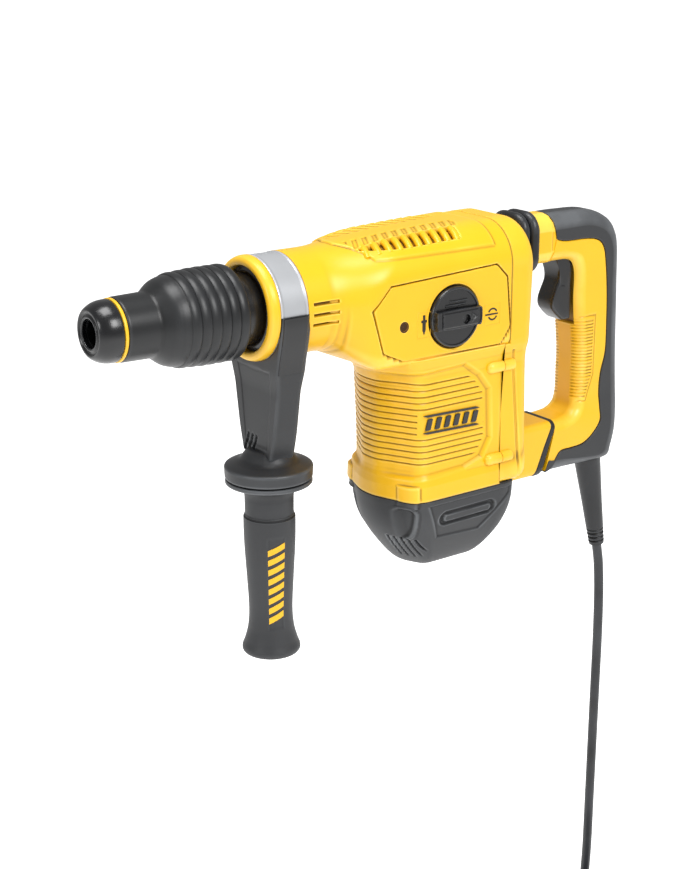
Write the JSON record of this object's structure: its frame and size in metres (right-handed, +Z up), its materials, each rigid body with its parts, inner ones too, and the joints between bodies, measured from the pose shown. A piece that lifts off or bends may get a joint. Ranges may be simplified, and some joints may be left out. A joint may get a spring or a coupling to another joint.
{
  "type": "demolition hammer",
  "caption": "Corded chipping hammer: round tool holder with locking sleeve, swivelling side handle, vertical motor, selector dial and damped D-handle with trigger and hanging mains lead.",
  "frame": {"origin": "middle of the rear hand grip, where the tool is held", "axes": "+X from the tool socket towards the rear handle, parallel to the hammer axis; +Z up; +Y to the side away from the selector dial"},
  "size_m": [0.4914, 0.1726, 0.6458],
  "materials": {
    "yellow_plastic": "satin",
    "grey_softgrip": "matte",
    "grey_plastic": "satin",
    "black_plastic": "satin",
    "black_rubber": "matte",
    "band_steel": "satin",
    "steel": "satin",
    "cast_aluminium": "cast",
    "copper": "satin",
    "carbon": "matte",
    "brass_pins": "satin"
  },
  "bodies": {
    "housing": {"gear_case": "cast_aluminium", "gear_cover": "yellow_plastic", "nose_flange": "black_plastic", "spindle_bush_front": "cast_aluminium", "spindle_bush_rear": "cast_aluminium", "selector_panel": "yellow_plastic", "motor_housing": "yellow_plastic", "motor_end_cap": "grey_plastic", "rear_housing": "yellow_plastic", "field_core": "steel", "upper_bearing": "steel", "lower_bearing": "steel", "brush_bridge": "grey_plastic", "carbon_brushes": "carbon", "control_module": "black_plastic", "housing_screws": "steel", "upper_bellows": "black_rubber", "damper_spring": "steel", "joint_gasket": "black_rubber", "pivot_pin": "steel"},
    "tool_spindle": {"tool_holder": "steel", "dust_cap": "black_rubber", "retaining_ring": "yellow_plastic", "cylinder_tube": "steel", "beat_bush": "cast_aluminium", "sleeve_spring": "steel"},
    "sleeve": {"locking_sleeve": "black_plastic"},
    "segment_top": {"locking_segment_top": "steel"},
    "segment_bottom": {"locking_segment_bottom": "steel"},
    "beat_piece": {"beat_piece": "steel"},
    "ram": {"ram": "steel", "ram_ring": "black_rubber"},
    "piston": {"piston": "cast_aluminium", "piston_ring": "black_rubber", "wrist_pin": "steel"},
    "rod": {"connecting_rod": "cast_aluminium", "crank_bearing": "steel"},
    "crank": {"crank_gear": "steel"},
    "armature": {"armature_shaft": "steel", "armature_core": "copper", "commutator": "copper", "cooling_fan": "black_plastic", "pinion": "steel"},
    "selector": {"selector_knob": "black_plastic", "selector_shaft": "steel"},
    "side_handle": {"clamp_band": "band_steel", "handle_bracket": "grey_plastic"},
    "grip": {"side_grip": "grey_softgrip", "clamp_bolt": "steel"},
    "rear_handle": {"handle_shell": "yellow_plastic", "handle_cover": "grey_softgrip", "trigger_switch": "black_plastic", "trigger_spring": "steel", "bend_relief": "black_rubber", "mains_cord": "black_rubber", "cord_coil": "black_rubber", "cord_tie": "black_plastic", "plug_body": "black_plastic", "plug_pins": "brass_pins"},
    "trigger": {"trigger": "black_plastic"}
  },
  "joints": [
    {"name": "tool_holder_turn", "type": "hinge", "parent": "housing", "child": "tool_spindle", "pos_m": [-0.311, 0, 0.066], "axis": [1, 0, 0], "continuous": true},
    {"name": "sleeve_slide", "type": "slide", "parent": "tool_spindle", "child": "sleeve", "axis": [1, 0, 0], "range_m": [0, 0.01], "stiffness_N_per_m": 1500, "springref_m": -0.012, "deforming": ["sleeve_spring"]},
    {"name": "segment_top_lift", "type": "slide", "parent": "tool_spindle", "child": "segment_top", "axis": [0, 0, 1], "range_m": [0, 0.0012]},
    {"name": "segment_bottom_lift", "type": "slide", "parent": "tool_spindle", "child": "segment_bottom", "axis": [0, 0, -1], "range_m": [0, 0.0012]},
    {"name": "beat_piece_slide", "type": "slide", "parent": "tool_spindle", "child": "beat_piece", "axis": [1, 0, 0], "range_m": [-0.0015, 0.003]},
    {"name": "ram_slide", "type": "slide", "parent": "tool_spindle", "child": "ram", "axis": [1, 0, 0], "range_m": [-0.003, 0.014]},
    {"name": "piston_slide", "type": "slide", "parent": "housing", "child": "piston", "axis": [1, 0, 0], "range_m": [0, 0.024]},
    {"name": "rod_swing", "type": "hinge", "parent": "piston", "child": "rod", "pos_m": [-0.2126, 0, 0.066], "axis": [0, 0, 1], "range_deg": [-12.6, 12.6]},
    {"name": "armature_spin", "type": "hinge", "parent": "housing", "child": "armature", "pos_m": [-0.1745, 0, -0.034], "axis": [0, 0, 1], "continuous": true},
    {"name": "crank_turn", "type": "hinge", "parent": "housing", "child": "crank", "pos_m": [-0.1456, 0, 0.036], "axis": [0, 0, 1], "continuous": true},
    {"name": "selector_turn", "type": "hinge", "parent": "housing", "child": "selector", "pos_m": [-0.1738, -0.05, 0.0495], "axis": [0, -1, 0], "range_deg": [0, 180]},
    {"name": "side_handle_swing", "type": "hinge", "parent": "housing", "child": "side_handle", "pos_m": [-0.2997, 0, 0.066], "axis": [1, 0, 0], "continuous": true},
    {"name": "grip_turn", "type": "hinge", "parent": "side_handle", "child": "grip", "pos_m": [-0.2992, 0, -0.114], "axis": [0, 0, 1], "continuous": true},
    {"name": "rear_handle_float", "type": "hinge", "parent": "housing", "child": "rear_handle", "pos_m": [-0.068, 0, -0.079], "axis": [0, 1, 0], "range_deg": [-3, 0], "stiffness_Nm_per_rad": 150, "springref_deg": 2.86, "deforming": ["upper_bellows", "damper_spring", "joint_gasket"]},
    {"name": "trigger_pull", "type": "hinge", "parent": "rear_handle", "child": "trigger", "pos_m": [-0.035, 0, 0.071], "axis": [0, 1, 0], "range_deg": [-7, 0], "stiffness_Nm_per_rad": 1.2, "springref_deg": 11.46, "deforming": ["trigger_spring"]}
  ],
  "couplings": [
    {"joint": "segment_top_lift", "follows": "sleeve_slide", "ratio": 0.12},
    {"joint": "segment_bottom_lift", "follows": "sleeve_slide", "ratio": 0.12},
    {"joint": "crank_turn", "follows": "armature_spin", "ratio": -0.21053}
  ]
}
